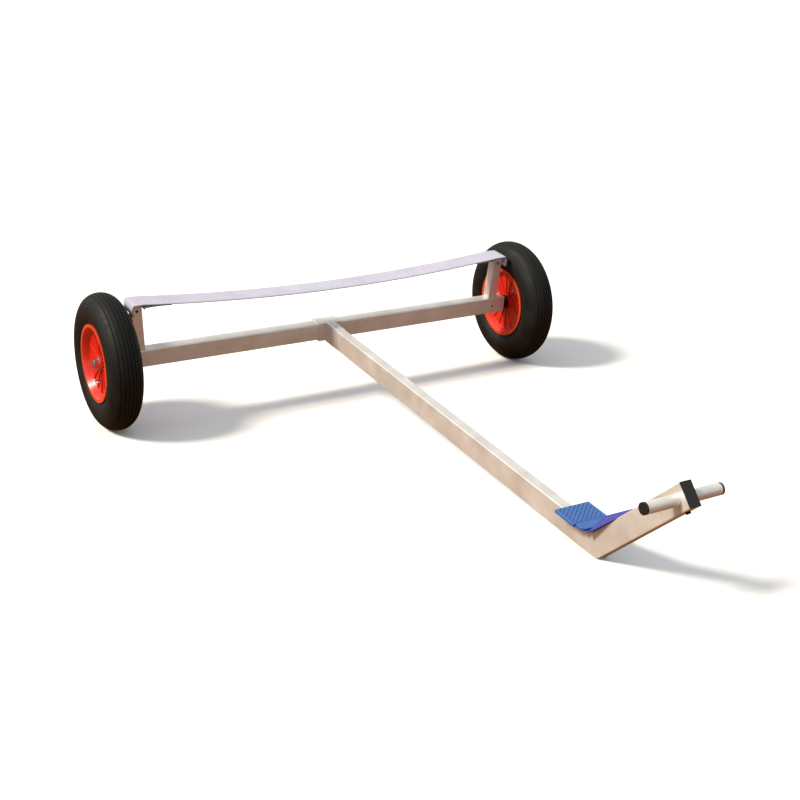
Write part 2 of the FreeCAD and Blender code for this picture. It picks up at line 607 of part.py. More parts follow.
def make_bow_leg():
    """A wedge-shaped leg up the riser: it leans to one side, and narrows to its tip."""
    body = new_body("bow_leg", RISER)
    turn = "(Sizes.bend_angle * 1 deg)"
    root = f"(Sizes.bar_height * tan({turn} / 2))"
    top = "Sizes.bar_height"
    wide = new_sketch(body, "root", "XZ_Plane")
    wide.setExpression("AttachmentOffset.Base.z", root)
    draw_outline(wide, [("-Sizes.leg_left", top), ("Sizes.leg_right", top),
                        ("Sizes.leg_ridge", f"{top} + Sizes.leg_height")])
    narrow = new_sketch(body, "tip", "XZ_Plane")
    narrow.setExpression("AttachmentOffset.Base.z", f"{root} + Sizes.leg_length")
    draw_outline(narrow, [("-Sizes.leg_tip", top), ("Sizes.leg_tip", top),
                          ("Sizes.leg_tip", f"{top} + Sizes.leg_tip_height")])
    loft = body.newObject("PartDesign::AdditiveLoft", "bow_leg_loft")
    loft.Profile = wide
    loft.Sections = [narrow]
    loft.Ruled = True
    doc.recompute()
    add_pad(body, wide, "Sizes.leg_run_out", reverse=True)

    def on_drawbar(along, lift):
        """A point over the drawbar, from the inner corner back along its top and up from it."""
        return (f"-{root} + ({along}) * cos({turn}) - ({lift}) * sin({turn})",
                f"{top} + ({along}) * sin({turn}) + ({lift}) * cos({turn})")

    # The run-out ends on the foot's top face and the drawbar's, and stops at the pad.
    foot_end = f"Sizes.pad_setback - {root}"
    foot_start = f"{foot_end} - Sizes.foot_length"
    thick = "Sizes.pad_thickness"
    waste = new_sketch(body, "waste", "YZ_Plane")
    draw_outline(waste, [
        on_drawbar("0", "0"), on_drawbar(foot_start, "0"), on_drawbar(foot_start, thick),
        on_drawbar(f"{foot_end} + Sizes.leg_run_out", thick),
        on_drawbar(f"{foot_end} + Sizes.leg_run_out", "-Sizes.bar_height"),
        on_drawbar("0", "-Sizes.bar_height")])
    add_pocket(body, waste, "4 * Sizes.leg_right", midplane=True)


# ---- assembly --------------------------------------------------------------------------------

SIDES = ((1, "right"), (-1, "left"))


def make_everything():
    for side, word in SIDES:
        make_tyre(side, word)
        make_rim(side, word)
        make_bush(side, word)
        make_valve(side, word)
        make_axle(side, word)
        make_beam_plug(side, word)
        make_post(side, word)
    make_beam()
    make_sling()
    make_socket()
    make_spigot()
    make_socket_bolt()
    make_drawbar()
    make_riser()
    make_riser_plug()
    make_handle()
    make_bow_pad()
    make_bow_foot()
    make_bow_leg()
    doc.recompute()


def check_everything():
    for item in doc.Objects:
        if "Invalid" in item.State or "Error" in item.State:
            raise RuntimeError(f"{item.Name} failed: {item.State}")
    for piece in pieces:
        if piece.Shape.isNull() or not piece.Shape.isValid() or not piece.Shape.Solids:
            raise RuntimeError(f"{piece.Label} has no valid solid")


def centre_on_floor():
    """Put the origin on the floor under the middle of the trolley's outline."""
    box = FreeCAD.BoundBox()
    for piece in pieces:
        box.add(piece.Shape.optimalBoundingBox(False, False))
    middle = FreeCAD.Vector(0, -(box.YMin + box.YMax) / 2, 0)
    for piece in pieces:
        piece.Placement.Base = piece.Placement.Base + middle
    doc.recompute()
    return middle.y, box


def export_everything():
    os.makedirs("parts", exist_ok=True)
    for piece in pieces:
        piece.Shape.exportStep(f"parts/{piece.Label}.step")


make_everything()
check_everything()
shift, box = centre_on_floor()
check_everything()
export_everything()
print(f"{len(pieces)} pieces, frame tipped {FRAME_TIP:.3f} degrees, wheel axis at y {shift:.3f}")
print(f"length {box.YLength:.1f}, width {box.XLength:.1f}, height {box.ZLength:.1f},"
      f" lowest {box.ZMin:.3f}")
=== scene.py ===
"""Looks of a dinghy trolley: aluminium tubes, ribbed tyres on moulded rims, a webbing sling and a
dimpled bow plate. Every length below is in metres, or in millimetres where a name or a helper
says so. Frame coordinates are the welded frame's own: level along the drawbar, tipped as a whole
about the axle."""
import json
import math
import random

import bmesh
import bpy
from mathutils import Matrix, Vector


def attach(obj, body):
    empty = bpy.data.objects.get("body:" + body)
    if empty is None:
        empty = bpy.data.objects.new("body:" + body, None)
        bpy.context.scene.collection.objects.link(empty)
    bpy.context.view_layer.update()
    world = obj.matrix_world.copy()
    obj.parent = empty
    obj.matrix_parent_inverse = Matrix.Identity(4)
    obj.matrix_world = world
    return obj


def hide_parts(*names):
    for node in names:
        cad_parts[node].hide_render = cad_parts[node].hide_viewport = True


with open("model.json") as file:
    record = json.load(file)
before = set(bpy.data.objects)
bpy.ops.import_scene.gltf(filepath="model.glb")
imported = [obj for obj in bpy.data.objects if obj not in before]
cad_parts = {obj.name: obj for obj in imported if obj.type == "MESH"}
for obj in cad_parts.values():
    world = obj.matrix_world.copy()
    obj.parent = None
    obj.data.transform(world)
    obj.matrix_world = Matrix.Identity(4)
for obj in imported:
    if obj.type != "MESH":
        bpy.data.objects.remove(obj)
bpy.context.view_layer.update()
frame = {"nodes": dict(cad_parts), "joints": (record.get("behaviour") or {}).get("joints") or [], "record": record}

MM = 0.001
SIDES = (("right", 1), ("left", -1))

# ---- the frame's place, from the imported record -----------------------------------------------

MOUNTS = {mount["name"]: mount for mount in frame["record"]["mounts"]}
AXLE = Vector(next(joint for joint in frame["joints"]
                   if joint["name"] == "wheel_right_spin")["pos_m"])
TRACK_HALF = AXLE.x
AXLE.x = 0.0
up_the_frame = Vector(MOUNTS["bow_rest"]["axis"])
TIP = math.atan2(-up_the_frame.y, up_the_frame.z)
FRAME = Matrix.Translation(AXLE) @ Matrix.Rotation(TIP, 4, "X")
TO_FRAME = FRAME.inverted()
TO_FRAME_UP = FRAME.to_3x3() @ Vector((0, 0, 1))

BEND = math.radians(47)
BAR_HEIGHT, BAR_WIDTH = 60, 30
CORNER_REACH = 1395
BEAM_HEIGHT, BEAM_DEPTH = 52, 40
POST_INSET, POST_SIZE, POST_HEIGHT = 598, 30, 146
POST_LEAN = math.radians(3.8)
RISER = (FRAME @ Matrix.Translation(Vector((0, -CORNER_REACH, -BAR_HEIGHT / 2)) * MM)
         @ Matrix.Rotation(-BEND, 4, "X"))


def at_frame(x, y, z):
    """A point given in the frame's own millimetres."""
    return FRAME @ (Vector((x, y, z)) * MM)


def at_riser(x, y, z):
    return RISER @ (Vector((x, y, z)) * MM)


# ---- materials -------------------------------------------------------------------------------

def srgb(code):
    """A hex colour as linear red, green, blue and alpha."""
    channels = [int(code[i:i + 2], 16) / 255 for i in (1, 3, 5)]
    linear = [c / 12.92 if c <= 0.04045 else ((c + 0.055) / 1.055) ** 2.4 for c in channels]
    return (*linear, 1.0)


def node(tree, kind, inputs=None, **settings):
    """Add a node, set it, and link or set its inputs; returns it."""
    made = tree.nodes.new(kind)
    for name, setting in settings.items():
        setattr(made, name, setting)
    for name, source in (inputs or {}).items():
        if isinstance(source, bpy.types.NodeSocket):
            tree.links.new(source, made.inputs[name])
        else:
            made.inputs[name].default_value = source
    return made


def new_material(name, **sockets):
    """A material with one Principled shader; sockets are set by name."""
    made = bpy.data.materials.new(name)
    made.use_nodes = True
    tree = made.node_tree
    tree.nodes.clear()
    shader = node(tree, "ShaderNodeBsdfPrincipled", sockets)
    node(tree, "ShaderNodeOutputMaterial", {"Surface": shader.outputs["BSDF"]})
    return made, tree, shader


def object_point(tree, size, turn=(0, 0, 0)):
    """Object coordinates in a turned frame, counted in units of size along each axis."""
    place = node(tree, "ShaderNodeTexCoord")
    return node(tree, "ShaderNodeMapping", {
        "Vector": place.outputs["Object"], "Rotation": turn, "Scale": size,
    }, vector_type="TEXTURE").outputs["Vector"]


def noise(tree, point, detail=4.0, rough=0.55):
    return node(tree, "ShaderNodeTexNoise", {
        "Vector": point, "Scale": 1.0, "Detail": detail, "Roughness": rough}).outputs["Fac"]


def two_tone(tree, share, low, high):
    """A colour between two hex tones, by a share from 0 to 1."""
    return node(tree, "ShaderNodeMix", {
        "Factor": share, 6: srgb(low), 7: srgb(high)}, data_type="RGBA").outputs[2]


def spread(tree, share, low, high, new_low, new_high):
    return node(tree, "ShaderNodeMapRange", {
        "Value": share, "From Min": low, "From Max": high,
        "To Min": new_low, "To Max": new_high}).outputs["Result"]


def bump(tree, height, distance, strength=1.0, below=None):
    made = node(tree, "ShaderNodeBump", {
        "Height": height, "Distance": distance, "Strength": strength})
    if below:
        tree.links.new(below, made.inputs["Normal"])
    return made.outputs["Normal"]


METAL_SHARE = 0.5


def mill_aluminium(name, turn, along):
    """Extruded 6082 alloy, mill finish, weathered: its thin oxide scatters half of the light.

    Die lines 0.6 mm apart run along each tube, and marks some 60 mm across cloud the sheen."""
    made, tree, shader = new_material(name, Metallic=METAL_SHARE)
    lines = [0.6 * MM] * 3
    lines[along] = 0.4
    die_lines = noise(tree, object_point(tree, lines, turn), detail=2)
    clouds = noise(tree, object_point(tree, (60 * MM,) * 3, turn), detail=5)
    grains = noise(tree, object_point(tree, (1.6 * MM,) * 3, turn), detail=3)
    tone = two_tone(tree, spread(tree, clouds, 0.3, 0.7, 0, 1), "#dcd9d4", "#f0eeea")
    speckle = node(tree, "ShaderNodeMix", {
        "Factor": spread(tree, grains, 0.45, 0.75, 0.0, 0.22), 6: tone, 7: srgb("#a59a8c")},
        data_type="RGBA").outputs[2]
    tree.links.new(speckle, shader.inputs["Base Color"])
    tree.links.new(spread(tree, clouds, 0.3, 0.7, 0.36, 0.5), shader.inputs["Roughness"])
    grain = bump(tree, grains, 0.03 * MM, 0.6)
    tree.links.new(bump(tree, die_lines, 0.03 * MM, 0.8, grain), shader.inputs["Normal"])
    return made


def weld_metal():
    """Aluminium weld bead: brighter and rougher than the tube, with a ripple in its shape."""
    made, tree, shader = new_material("aluminium_weld", Metallic=1.0, Roughness=0.5)
    mottle = noise(tree, object_point(tree, (2 * MM,) * 3))
    tree.links.new(two_tone(tree, mottle, "#a8a29a", "#e0dcd4"), shader.inputs["Base Color"])
    tree.links.new(bump(tree, mottle, 0.1 * MM), shader.inputs["Normal"])
    return made


def tyre_rubber():
    """Black natural rubber, dry and a little dusty: greyer where dust lies in the sidewall."""
    made, tree, shader = new_material("tyre_rubber", **{"Specular IOR Level": 0.28})
    dust = noise(tree, object_point(tree, (45 * MM,) * 3), detail=6, rough=0.65)
    grit = noise(tree, object_point(tree, (1.5 * MM,) * 3), detail=3)
    tone = two_tone(tree, spread(tree, dust, 0.42, 0.72, 0, 1), "#080907", "#141511")
    specks = node(tree, "ShaderNodeMix", {
        "Factor": spread(tree, grit, 0.62, 0.78, 0.0, 0.3), 6: tone, 7: srgb("#3c3c32")},
        data_type="RGBA").outputs[2]
    tree.links.new(specks, shader.inputs["Base Color"])
    tree.links.new(spread(tree, dust, 0.35, 0.7, 0.5, 0.78), shader.inputs["Roughness"])
    tree.links.new(bump(tree, grit, 0.12 * MM, 0.7), shader.inputs["Normal"])
    return made


def rim_plastic():
    """Injection-moulded polypropylene: glossy red-orange, lighter towards the thin flange, a painted glow of light
    shining through the thin plastic.
    """
    made, tree, shader = new_material("rim_polypropylene", Roughness=0.27,
                                      **{"Coat Weight": 0.25, "Coat Roughness": 0.12})
    place = node(tree, "ShaderNodeTexCoord").outputs["Object"]
    from_axle = node(tree, "ShaderNodeVectorMath", {0: place, 1: tuple(-AXLE)}, operation="ADD")
    across = node(tree, "ShaderNodeVectorMath", {0: from_axle.outputs[0], 1: (0, 1, 1)},
                  operation="MULTIPLY")
    radius = node(tree, "ShaderNodeVectorMath", {0: across.outputs[0]}, operation="LENGTH")
    # Painted light: the lighter orange at the flange stands for light shining through the thin plastic.
    edge = spread(tree, radius.outputs["Value"], 0.098, 0.106, 0, 1)
    flow = noise(tree, object_point(tree, (30 * MM,) * 3), detail=3)
    inner = two_tone(tree, spread(tree, flow, 0.3, 0.7, 0, 1), "#c41f12", "#d92a18")
    tone = node(tree, "ShaderNodeMix", {"Factor": edge, 6: inner, 7: srgb("#dc4526")},
                data_type="RGBA").outputs[2]
    tree.links.new(tone, shader.inputs["Base Color"])
    tree.links.new(bump(tree, flow, 0.4 * MM, 0.3), shader.inputs["Normal"])
    return made


def moulded_plastic(name, low, high, roughness, grain=1.2):
    """Moulded plastic with a fine spark-eroded texture; grain is its size in millimetres."""
    made, tree, shader = new_material(name, Roughness=roughness)
    texture = noise(tree, object_point(tree, (grain * MM,) * 3), detail=3)
    clouds = noise(tree, object_point(tree, (22 * MM,) * 3), detail=3)
    tree.links.new(two_tone(tree, clouds, low, high), shader.inputs["Base Color"])
    tree.links.new(bump(tree, texture, 0.08 * MM, 0.6), shader.inputs["Normal"])
    return made


def plated_steel(name, low, high, roughness):
    """Zinc-plated or stainless steel: bright, with a faint turned grain."""
    made, tree, shader = new_material(name, Metallic=1.0, Roughness=roughness)
    stain = noise(tree, object_point(tree, (5 * MM,) * 3), detail=5)
    tree.links.new(two_tone(tree, stain, low, high), shader.inputs["Base Color"])
    tree.links.new(bump(tree, stain, 0.03 * MM, 0.5), shader.inputs["Normal"])
    return made


def webbing():
    """Polyester webbing: a twill of 2 mm cords across its width, drawn coarse enough to show,
    with grey selvedges. Its UV map counts metres along (u) and across (v)."""
    made, tree, shader = new_material("polyester_webbing", Roughness=0.82,
                                      **{"Sheen Weight": 0.25, "Sheen Roughness": 0.5})
    uv = node(tree, "ShaderNodeUVMap", uv_map="weave").outputs["UV"]
    ridges = node(tree, "ShaderNodeMapping", {
        "Vector": uv, "Rotation": (0, 0, math.radians(32)), "Scale": (1 / (12 * MM),) * 3})
    twill = node(tree, "ShaderNodeTexWave", {
        "Vector": ridges.outputs["Vector"], "Scale": 1.0, "Distortion": 0.6, "Detail": 1.0})
    parts = node(tree, "ShaderNodeSeparateXYZ", {0: uv})
    off_centre = node(tree, "ShaderNodeMath", {0: parts.outputs["Y"]}, operation="ABSOLUTE")
    selvedge = spread(tree, off_centre.outputs[0], 0.0335, 0.0362, 0, 1)
    place = object_point(tree, (70 * MM,) * 3)
    shade = noise(tree, place, detail=4)
    cloth = two_tone(tree, spread(tree, shade, 0.3, 0.7, 0, 1), "#b4b2c6", "#c3c1d0")
    ribbed = node(tree, "ShaderNodeMix", {
        "Factor": spread(tree, twill.outputs["Fac"], 0.0, 1.0, 0.25, 0.0), 6: cloth,
        7: srgb("#9a98ae")}, data_type="RGBA").outputs[2]
    tone = node(tree, "ShaderNodeMix", {"Factor": selvedge, 6: ribbed, 7: srgb("#787a88")},
                data_type="RGBA").outputs[2]
    tree.links.new(tone, shader.inputs["Base Color"])
    tree.links.new(bump(tree, twill.outputs["Fac"], 0.35 * MM, 0.8), shader.inputs["Normal"])
    return made


# Each tube's lines run along the tube: the beam's along X, the others' along their own axis.
ALUMINIUM_BEAM = mill_aluminium("mill_aluminium_beam", (TIP, 0, 0), 0)
ALUMINIUM_BAR = mill_aluminium("mill_aluminium_drawbar", (TIP, 0, 0), 1)
ALUMINIUM_RISER = mill_aluminium("mill_aluminium_riser", (TIP - BEND, 0, 0), 1)
ALUMINIUM_POST = mill_aluminium("mill_aluminium_post", (TIP, 0, 0), 2)
WELD = weld_metal()
RUBBER = tyre_rubber()
RIM = rim_plastic()
BLUE = moulded_plastic("blue_polypropylene", "#335d9c", "#3e6bae", 0.42)
# Painted shade: the darker blue put in the bow pad's dimples, where shade falls in the hollows.
BLUE_DIMPLE_PAINTED_SHADE = moulded_plastic("blue_polypropylene_in_shade", "#152a66", "#1a3274", 0.5)
# Painted shade: the bow leg's violet blue is blue plastic darkened, as its shaded underside looks.
BLUE_LEG_PAINTED_SHADE = moulded_plastic("bow_leg_blue_painted_shade", "#3b3f96", "#4549a6", 0.55)
BLACK = moulded_plastic("black_polyethylene", "#101011", "#1b1b1c", 0.45)
NYLON = moulded_plastic("natural_nylon", "#cfc9b8", "#ddd8ca", 0.5)
ZINC = plated_steel("zinc_plated_steel", "#b9bcc2", "#dfe1e4", 0.22)
STAINLESS = plated_steel("stainless_steel", "#6a645c", "#8f8a82", 0.4)
DARK_STEEL = plated_steel("black_oxide_steel", "#1c1a18", "#2a2724", 0.5)
WEBBING = webbing()
THREAD = moulded_plastic("polyester_thread", "#9c9bae", "#aeadbe", 0.8, grain=0.6)

NODE_FINISH = {
    "axle_beam": ALUMINIUM_BEAM, "drawbar_socket": ALUMINIUM_BAR, "drawbar_spigot": ALUMINIUM_BAR,
    "drawbar_tube": ALUMINIUM_BAR, "riser_tube": ALUMINIUM_RISER, "handle_tube": ALUMINIUM_BEAM,
    "socket_bolt": DARK_STEEL, "handle_bolt": DARK_STEEL, "riser_plug": BLACK,
    "bow_pad": BLUE, "bow_foot": BLUE, "bow_leg": BLUE_LEG_PAINTED_SHADE, "sling": WEBBING,
}
SIDE_FINISH = {
    "tyre": RUBBER, "rim": RIM, "hub_bush": NYLON, "valve_stem": ZINC, "stub_axle": ZINC,
    "axle_spacer": BLACK, "axle_washer": ZINC, "axle_nut": ZINC, "beam_plug": BLACK,
    "sling_post": ALUMINIUM_POST, "handle_cap": BLACK,
}


def finish_nodes():
    """Give every CAD node its finish."""
    for word, _ in SIDES:
        NODE_FINISH.update({f"{stem}_{word}": made for stem, made in SIDE_FINISH.items()})
    for name, piece in frame["nodes"].items():
        piece.data.materials.clear()
        piece.data.materials.append(NODE_FINISH[name])


# ---- mesh helpers ----------------------------------------------------------------------------

def new_piece(name, vertices, faces, material, body, smooth=True):
    """A mesh piece in place, its faces turned outwards, riding on a body."""
    mesh = bpy.data.meshes.new(name)
    mesh.from_pydata([tuple(v) for v in vertices], [], faces)
    shape = bmesh.new()
    shape.from_mesh(mesh)
    bmesh.ops.remove_doubles(shape, verts=shape.verts, dist=1e-6)
    bmesh.ops.recalc_face_normals(shape, faces=shape.faces)
    shape.to_mesh(mesh)
    shape.free()
    mesh.polygons.foreach_set("use_smooth", [smooth] * len(mesh.polygons))
    mesh.materials.append(material)
    piece = bpy.data.objects.new(name, mesh)
    bpy.context.scene.collection.objects.link(piece)
    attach(piece, body)
    return piece


def lathe(profile, steps, place):
    """Rings of a closed (across, radius) profile turned about the X axis, in millimetres."""
    vertices, faces = [], []
    count = len(profile)
    for step in range(steps):
        angle = 2 * math.pi * step / steps
        for across, radius in profile:
            point = Vector((across, radius * math.sin(angle), radius * math.cos(angle)))
            vertices.append(place @ (point * MM))
    for step in range(steps):
        after = (step + 1) % steps
        for i in range(count):
            j = (i + 1) % count
            faces.append((step * count + i, step * count + j, after * count + j,
                          after * count + i))
    return vertices, faces


def smooth_by_angle(piece, degrees=35):
    """Keep hard creases sharp: edges that turn more than this many degrees."""
    limit = math.radians(degrees)
    shape = bmesh.new()
    shape.from_mesh(piece.data)
    for edge in shape.edges:
        edge.smooth = len(edge.link_faces) == 2 and edge.calc_face_angle(0) < limit
    shape.to_mesh(piece.data)
    shape.free()


# ---- tyres -----------------------------------------------------------------------------------

TREAD_GROOVES = (-27, -16, -5.5, 5.5, 16, 27)
GROOVE_WIDTH, GROOVE_DEPTH = 2.6, 2.6


def arc_through(start, via, end, count):
    """Points on the circle through three points, from start to end."""
    (ax, ay), (bx, by), (cx, cy) = start, via, end
    double = 2 * (ax * (by - cy) + bx * (cy - ay) + cx * (ay - by))
    sa, sb, sc = ax * ax + ay * ay, bx * bx + by * by, cx * cx + cy * cy
    ox = (sa * (by - cy) + sb * (cy - ay) + sc * (ay - by)) / double
    oy = (sa * (cx - bx) + sb * (ax - cx) + sc * (bx - ax)) / double
    radius = math.hypot(ax - ox, ay - oy)
    first = math.atan2(ay - oy, ax - ox)
    middle = (math.atan2(by - oy, bx - ox) - first) % (2 * math.pi)
    turn = (math.atan2(cy - oy, cx - ox) - first) % (2 * math.pi)
    if middle > turn:
        turn -= 2 * math.pi
    return [(ox + radius * math.cos(first + turn * i / count),
             oy + radius * math.sin(first + turn * i / count)) for i in range(count + 1)]


def tread_point(across, radius):
    """The crown with rounded grooves pressed in."""
    depth = 0.0
    for groove in TREAD_GROOVES:
        near = abs(across - groove) / (GROOVE_WIDTH / 2)
        if near < 1:
            depth = GROOVE_DEPTH * min(1.0, 2 * (1 - near))
    return across, radius - depth


def sidewall_point(across, radius):
    """Shallow moulded rings stand on the sidewall near the rim and below the shoulder."""
    ring = 0.0
    for centre in (122, 128, 171, 178):
        near = abs(radius - centre) / 2.2
        if near < 1:
            ring = 0.9 * (1 - near)
    return across - math.copysign(ring, across), radius


def tyre_profile():
    """Closed section in millimetres: crown, sidewalls and beads as in the CAD tyre."""
    shoulder, hip = (31, 190), (36, 113)
    crown = [tread_point(*p) for p in arc_through((-31, 190), (0, 200), (31, 190), 150)]
    wall = [sidewall_point(*p) for p in arc_through(shoulder, (50, 152), hip, 60)]
    other = [(-across, radius) for across, radius in reversed(wall)]
    beads = [(36, 103), (30, 101), (-30, 101), (-36, 103)]
    return crown + wall[1:] + beads + other[:-1]


def make_tyre(word, side):
    place = Matrix.Translation(AXLE + Vector((side * TRACK_HALF, 0, 0)))
    vertices, faces = lathe(tyre_profile(), 160, place)
    tyre = new_piece(f"ribbed_tyre_{word}", vertices, faces, RUBBER, f"wheel_{word}")
    smooth_by_angle(tyre, 40)
    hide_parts(f"tyre_{word}")


# ---- sling -----------------------------------------------------------------------------------

SLING_WIDTH, SLING_THICKNESS, SLING_SAG = 75, 3.0, 30
SLING_DROP, SLING_BULGE = 30, 6
SEAT = BEAM_HEIGHT / 2 + POST_HEIGHT
POST_TOP_IN = POST_INSET + POST_HEIGHT * math.tan(POST_LEAN)
POST_TOP_OUT = POST_TOP_IN + POST_SIZE


def sling_path():
    """The webbing's centre line in the frame's XZ plane, from one foot to the other."""
    lift = SLING_THICKNESS / 2 + 0.4
    belly = SEAT - SLING_DROP * 0.45
    foot = (POST_TOP_OUT - SLING_DROP * math.tan(POST_LEAN) + 2.2, SEAT - SLING_DROP)
    loop = arc_through((POST_TOP_OUT - 1, SEAT + lift), (POST_TOP_OUT + SLING_BULGE - 2, belly),
                       foot, 22)
    top = [(POST_TOP_IN + 6, SEAT + lift), (POST_TOP_IN + 18, SEAT + lift)]
    span = []
    for step in range(0, 61):
        across = POST_TOP_IN * step / 60
        drop = SLING_SAG * (1 - (across / POST_TOP_IN) ** 2)
        span.append((across, SEAT + lift - drop))
    right = span + top + loop
    left = [(-across, height) for across, height in reversed(right[1:])]
    return left + right


def ribbon(name, path, width, thickness, material, rows=10):
    """Flat webbing along an XZ path, with rounded selvedges and a UV map in metres."""
    profile = []
    for row in range(rows + 1):
        across = width * (row / rows - 0.5)
        edge = min(1.0, (width / 2 - abs(across)) / thickness)
        profile.append((across, thickness / 2 * math.sqrt(max(0.12, 1 - (1 - edge) ** 2))))
    ring = profile + [(across, -half) for across, half in reversed(profile)]
    vertices, faces, uvs = [], [], []
    travelled = 0.0
    for i, (x, z) in enumerate(path):
        before, after = path[max(0, i - 1)], path[min(len(path) - 1, i + 1)]
        tangent = Vector((after[0] - before[0], 0, after[1] - before[1])).normalized()
        normal = Vector((-tangent.z, 0, tangent.x))
        if i:
            travelled += math.hypot(x - path[i - 1][0], z - path[i - 1][1])
        for across, lift in ring:
            vertices.append(at_frame(*(Vector((x, across, z)) + normal * lift)))
            uvs.append((travelled * MM, across * MM))
    count = len(ring)
    for i in range(len(path) - 1):
        for j in range(count):
            k = (j + 1) % count
            faces.append((i * count + j, i * count + k, (i + 1) * count + k, (i + 1) * count + j))
    faces.append(tuple(range(count)))
    faces.append(tuple((len(path) - 1) * count + j for j in range(count)))
    piece = new_piece(name, vertices, faces, material, "frame")
    layer = piece.data.uv_layers.new(name="weave")
    for loop in piece.data.loops:
        layer.data[loop.index].uv = uvs[loop.vertex_index]
    return piece, travelled * MM


def make_sling():
    sling, length = ribbon("webbing_sling", sling_path(), SLING_WIDTH - 1, SLING_THICKNESS,
                           WEBBING)
    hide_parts("sling")
    for word, side in SIDES:
        # The sewn return: it comes off the post's inner face and closes on the main web.
        post_x = POST_TOP_IN - 1.8
        path = [(side * post_x, SEAT - 13), (side * (post_x - 3), SEAT - 8.5)]
        for step in range(1, 9):
            share = step / 8
            across = post_x - 3 - 80 * share
            drop = SLING_SAG * (1 - (across / POST_TOP_IN) ** 2)
            path.append((side * across, SEAT - 8.5 * (1 - share) - 1.3 * share - drop * share))
        if side > 0:
            path.reverse()
        piece, _ = ribbon(f"sling_return_{word}", path, SLING_WIDTH - 4, 2.2, WEBBING)


# ---- bow pad and bracket ---------------------------------------------------------------------

PAD_WIDTH, PAD_LENGTH, PAD_THICKNESS, PAD_FRONT, PAD_OFFSET = 100, 73, 8, 1333, 4.5
DIMPLE_ROW, DIMPLE_PITCH, DIMPLE_RADIUS, DIMPLE_DEPTH = 6.2, 13.6, 2.5, 3.6


def dimple_share(x, y):
    """How deep a point lies in the nearest of the staggered round dimples, from 0 to 1."""
    row = round(y / DIMPLE_ROW)
    deepest = 0.0
    for nearby in (row - 1, row, row + 1):
        shift = (nearby % 2) * DIMPLE_PITCH / 2
        centre_y = nearby * DIMPLE_ROW
        centre_x = round((x - shift) / DIMPLE_PITCH) * DIMPLE_PITCH + shift
        if abs(centre_x) > PAD_WIDTH / 2 - 5 or abs(centre_y) > PAD_LENGTH / 2 - 4:
            continue
        away = math.hypot(x - centre_x, y - centre_y) / DIMPLE_RADIUS
        deepest = max(deepest, min(1.0, (1.3 - away) / 0.5))
    return deepest


def pad_height(x, y):
    """The top face's height in the pad: dimples, and a rolled outer edge."""
    fall = dimple_share(x, y)
    height = PAD_THICKNESS - DIMPLE_DEPTH * fall * fall * (3 - 2 * fall)
    inset = min(PAD_WIDTH / 2 - abs(x), PAD_LENGTH / 2 - abs(y))
    if inset < 2.0:
        height -= 2.0 - math.sqrt(max(0.0, 4.0 - (2.0 - inset) ** 2))
    return height


def make_bow_pad():
    """A moulded plate: a fine grid shaped by pad_height, closed by its sides and underside."""
    across, along = 160, 116
    vertices, faces = [], []
    for j in range(along + 1):
        for i in range(across + 1):
            x = PAD_WIDTH * (i / across - 0.5)
            y = PAD_LENGTH * (j / along - 0.5)
            centre_y = -PAD_FRONT + PAD_LENGTH / 2
            vertices.append(at_frame(PAD_OFFSET + x, centre_y + y,
                                     BAR_HEIGHT / 2 + pad_height(x, y)))
    row = across + 1
    for j in range(along):
        for i in range(across):
            faces.append((j * row + i, j * row + i + 1, (j + 1) * row + i + 1, (j + 1) * row + i))
    rim = [i for i in range(across + 1)]
    rim += [j * row + across for j in range(1, along + 1)]
    rim += [along * row + i for i in range(across - 1, -1, -1)]
    rim += [j * row for j in range(along - 1, 0, -1)]
    first = len(vertices)
    down = (FRAME.to_3x3() @ Vector((0, 0, 1)))
    for index in rim:
        local = TO_FRAME @ vertices[index]
        vertices.append(vertices[index] - down * (local.z - BAR_HEIGHT / 2 * MM))
    for k in range(len(rim)):
        m = (k + 1) % len(rim)
        faces.append((rim[k], rim[m], first + m, first + k))
    faces.append(tuple(range(first, first + len(rim))))
    pad = new_piece("dimpled_bow_pad", vertices, faces, BLUE, "frame")
    # Painted shade: faces deep in the dimples take the darker blue.
    pad.data.materials.append(BLUE_DIMPLE_PAINTED_SHADE)
    for polygon in pad.data.polygons:
        if TO_FRAME_UP.dot(polygon.normal) < 0.5:
            continue
        x, y, _ = TO_FRAME @ polygon.center / MM
        if dimple_share(x - PAD_OFFSET, y + PAD_FRONT - PAD_LENGTH / 2) > 0.55:
            polygon.material_index = 1
    smooth_by_angle(pad, 50)
    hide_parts("bow_pad")


def node_copy(node_name, name, material, bevel=None, body="frame"):
    """A merged copy of a CAD node's mesh, with a small rounded edge where one is asked for."""
    mesh = frame["nodes"][node_name].data.copy()
    mesh.name = name
    mesh.materials.clear()
    mesh.materials.append(material)
    shape = bmesh.new()
    shape.from_mesh(mesh)
    bmesh.ops.remove_doubles(shape, verts=shape.verts, dist=2e-6)
    bmesh.ops.dissolve_limit(shape, angle_limit=math.radians(0.5), verts=shape.verts,
                             edges=shape.edges)
    bmesh.ops.recalc_face_normals(shape, faces=shape.faces)
    shape.to_mesh(mesh)
    shape.free()
    piece = bpy.data.objects.new(name, mesh)
    bpy.context.scene.collection.objects.link(piece)
    if bevel:
        rounding = piece.modifiers.new("rounded_edges", "BEVEL")
        rounding.width = bevel * MM
        rounding.segments = 3
        rounding.limit_method = "ANGLE"
        rounding.angle_limit = math.radians(30)
        rounding.harden_normals = False
        bake(piece)
    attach(piece, body)
    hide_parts(node_name)
    return piece


def bake(piece):
    """Turn the evaluated object into its plain mesh and drop its modifiers."""
    graph = bpy.context.evaluated_depsgraph_get()
    made = bpy.data.meshes.new_from_object(piece.evaluated_get(graph))
    piece.modifiers.clear()
    piece.data = made
    return piece


# ---- repeated small things, by Geometry Nodes ------------------------------------------------

